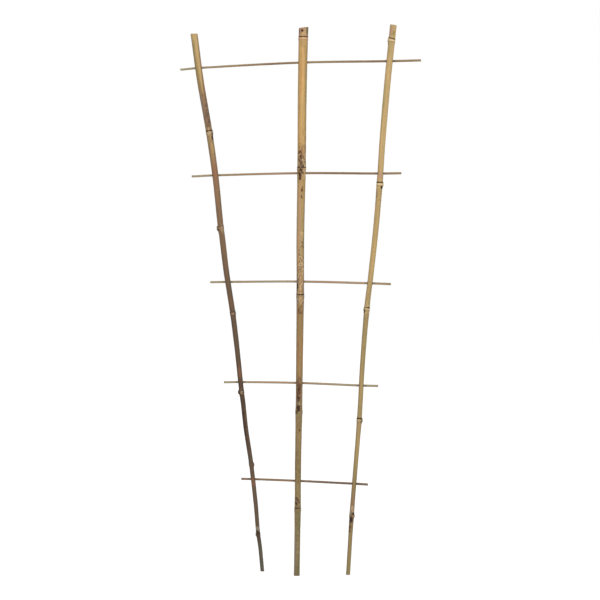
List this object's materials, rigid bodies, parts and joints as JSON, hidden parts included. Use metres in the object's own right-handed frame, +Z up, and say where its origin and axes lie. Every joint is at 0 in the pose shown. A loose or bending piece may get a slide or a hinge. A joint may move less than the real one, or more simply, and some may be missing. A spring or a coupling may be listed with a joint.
{
  "type": "bamboo trellis",
  "caption": "Fan-shaped bamboo trellis: upright canes that spread towards the top, joined by thin cross rungs pushed through drilled holes.",
  "frame": {"origin": "on the ground under the trellis: X = 0 midway between the ends of the top rung, Y = 0 in the plane of the canes, Z = 0 at the foot of the middle cane", "axes": "+Z up along the canes, +X to the right along the rungs as seen in the picture, +Y away from the viewer, through the trellis"},
  "size_m": [0.5271, 0.0222, 1.2062],
  "materials": {
    "aged_brown_bamboo": "satin natural cane skin, weathered brown",
    "golden_bamboo": "satin natural cane skin, golden tan",
    "straw_bamboo": "satin natural cane skin, straw",
    "weathered_bamboo_stick": "matt split bamboo, weathered"
  },
  "bodies": {
    "root": {"cane_left": "aged_brown_bamboo", "cane_middle": "golden_bamboo", "cane_right": "straw_bamboo", "rung_1": "weathered_bamboo_stick", "rung_2": "weathered_bamboo_stick", "rung_3": "weathered_bamboo_stick", "rung_4": "weathered_bamboo_stick", "rung_5": "weathered_bamboo_stick"}
  },
  "joints": []
}
